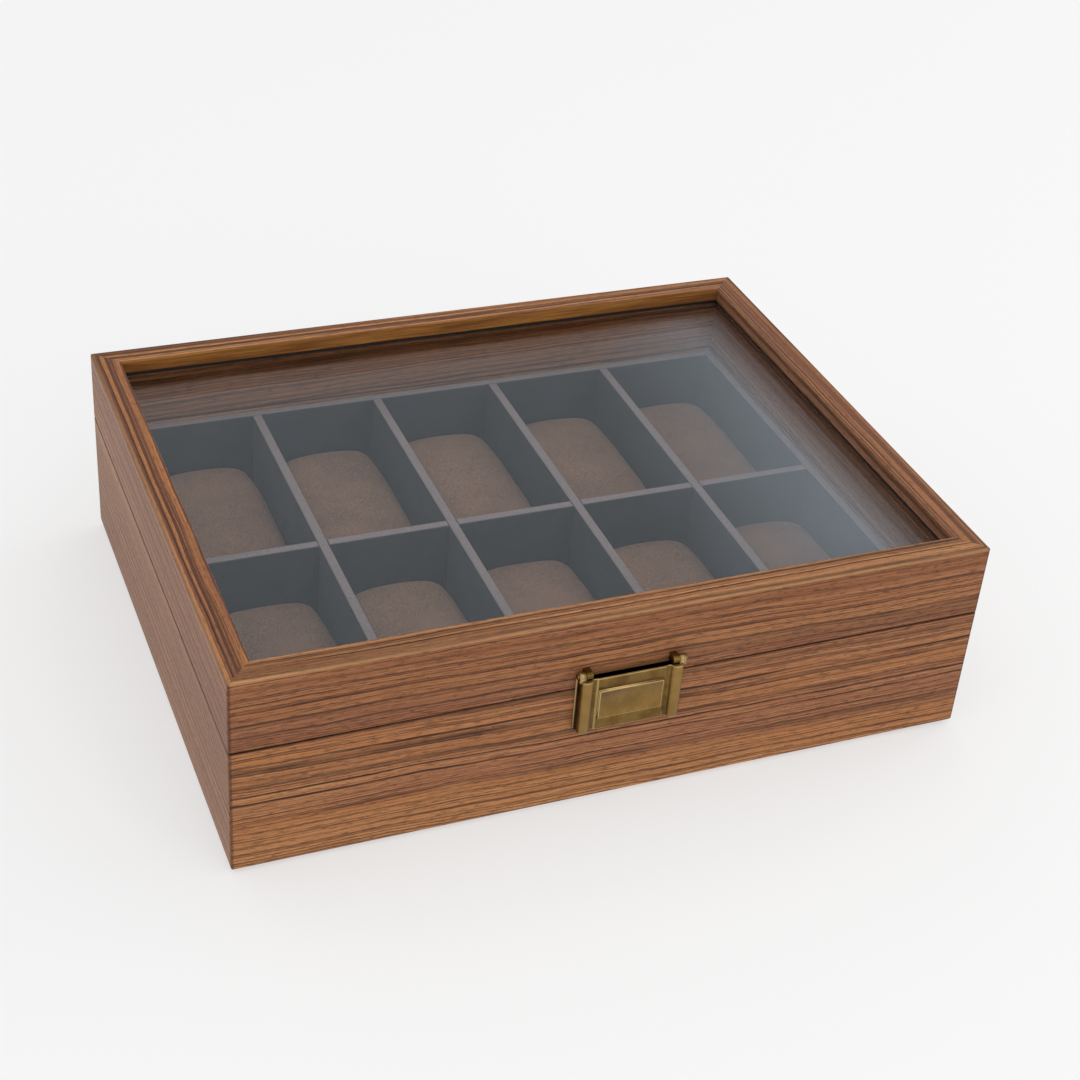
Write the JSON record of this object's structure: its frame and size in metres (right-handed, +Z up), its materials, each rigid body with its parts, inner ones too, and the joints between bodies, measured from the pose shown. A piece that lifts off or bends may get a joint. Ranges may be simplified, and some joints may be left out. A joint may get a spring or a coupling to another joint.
{
  "type": "watch box",
  "caption": "Rectangular wooden watch box with a glazed hinged lid, a lined tray of compartments that each hold a soft removable cushion, and a hinged brass front latch.",
  "frame": {"origin": "middle of the flat underside of the case", "axes": "+X right along the width, +Y towards the hinges at the back, +Z up; the latch faces -Y"},
  "size_m": [0.29, 0.2377, 0.084],
  "materials": {
    "walnut": "satin lacquered striped walnut veneer",
    "plywood": "raw plywood",
    "felt": "black felt",
    "tray_suede": "slate grey faux suede",
    "cushion_suede": "taupe faux suede",
    "glass": "clear float glass",
    "seal": "black glazing seal",
    "brass": "aged satin brass"
  },
  "bodies": {
    "base": {"base_front": "walnut", "base_back": "walnut", "base_left": "walnut", "base_right": "walnut", "bottom_panel": "plywood", "bottom_felt": "felt", "tray_floor": "tray_suede", "tray_front": "tray_suede", "tray_back": "tray_suede", "tray_left": "tray_suede", "tray_right": "tray_suede", "divider_long": "tray_suede", "divider_cross_1": "tray_suede", "divider_cross_2": "tray_suede", "divider_cross_3": "tray_suede", "divider_cross_4": "tray_suede", "hinge_leaf_base_left": "brass", "hinge_leaf_base_right": "brass", "hinge_pin_left": "brass", "hinge_pin_right": "brass", "hinge_screws_base": "brass", "catch_plate": "brass", "catch_stud": "brass", "catch_screws": "brass"},
    "lid": {"lid_front": "walnut", "lid_back": "walnut", "lid_left": "walnut", "lid_right": "walnut", "glass_pane": "glass", "glass_seal": "seal", "hinge_leaf_lid_left": "brass", "hinge_leaf_lid_right": "brass", "hinge_screws_lid": "brass", "latch_hinge_plate": "brass", "latch_pins": "brass", "latch_screws": "brass"},
    "latch": {"latch_flap": "brass", "latch_clip": "brass"},
    "cushion_back_1": {"cushion_back_1": "cushion_suede"},
    "cushion_back_2": {"cushion_back_2": "cushion_suede"},
    "cushion_back_3": {"cushion_back_3": "cushion_suede"},
    "cushion_back_4": {"cushion_back_4": "cushion_suede"},
    "cushion_back_5": {"cushion_back_5": "cushion_suede"},
    "cushion_front_1": {"cushion_front_1": "cushion_suede"},
    "cushion_front_2": {"cushion_front_2": "cushion_suede"},
    "cushion_front_3": {"cushion_front_3": "cushion_suede"},
    "cushion_front_4": {"cushion_front_4": "cushion_suede"},
    "cushion_front_5": {"cushion_front_5": "cushion_suede"}
  },
  "joints": [
    {"name": "lid_hinge", "type": "hinge", "parent": "base", "child": "lid", "pos_m": [0, 0.1157, 0.0542], "axis": [-1, 0, 0], "range_deg": [0, 100]},
    {"name": "latch_hinge", "type": "hinge", "parent": "lid", "child": "latch", "pos_m": [0, -0.1156, 0.0617], "axis": [-1, 0, 0], "range_deg": [0, 150]},
    {"name": "cushion_back_1_lift", "type": "slide", "parent": "base", "child": "cushion_back_1", "axis": [0, 0, 1], "range_m": [0, 0.03]},
    {"name": "cushion_back_2_lift", "type": "slide", "parent": "base", "child": "cushion_back_2", "axis": [0, 0, 1], "range_m": [0, 0.03]},
    {"name": "cushion_back_3_lift", "type": "slide", "parent": "base", "child": "cushion_back_3", "axis": [0, 0, 1], "range_m": [0, 0.03]},
    {"name": "cushion_back_4_lift", "type": "slide", "parent": "base", "child": "cushion_back_4", "axis": [0, 0, 1], "range_m": [0, 0.03]},
    {"name": "cushion_back_5_lift", "type": "slide", "parent": "base", "child": "cushion_back_5", "axis": [0, 0, 1], "range_m": [0, 0.03]},
    {"name": "cushion_front_1_lift", "type": "slide", "parent": "base", "child": "cushion_front_1", "axis": [0, 0, 1], "range_m": [0, 0.03]},
    {"name": "cushion_front_2_lift", "type": "slide", "parent": "base", "child": "cushion_front_2", "axis": [0, 0, 1], "range_m": [0, 0.03]},
    {"name": "cushion_front_3_lift", "type": "slide", "parent": "base", "child": "cushion_front_3", "axis": [0, 0, 1], "range_m": [0, 0.03]},
    {"name": "cushion_front_4_lift", "type": "slide", "parent": "base", "child": "cushion_front_4", "axis": [0, 0, 1], "range_m": [0, 0.03]},
    {"name": "cushion_front_5_lift", "type": "slide", "parent": "base", "child": "cushion_front_5", "axis": [0, 0, 1], "range_m": [0, 0.03]}
  ]
}
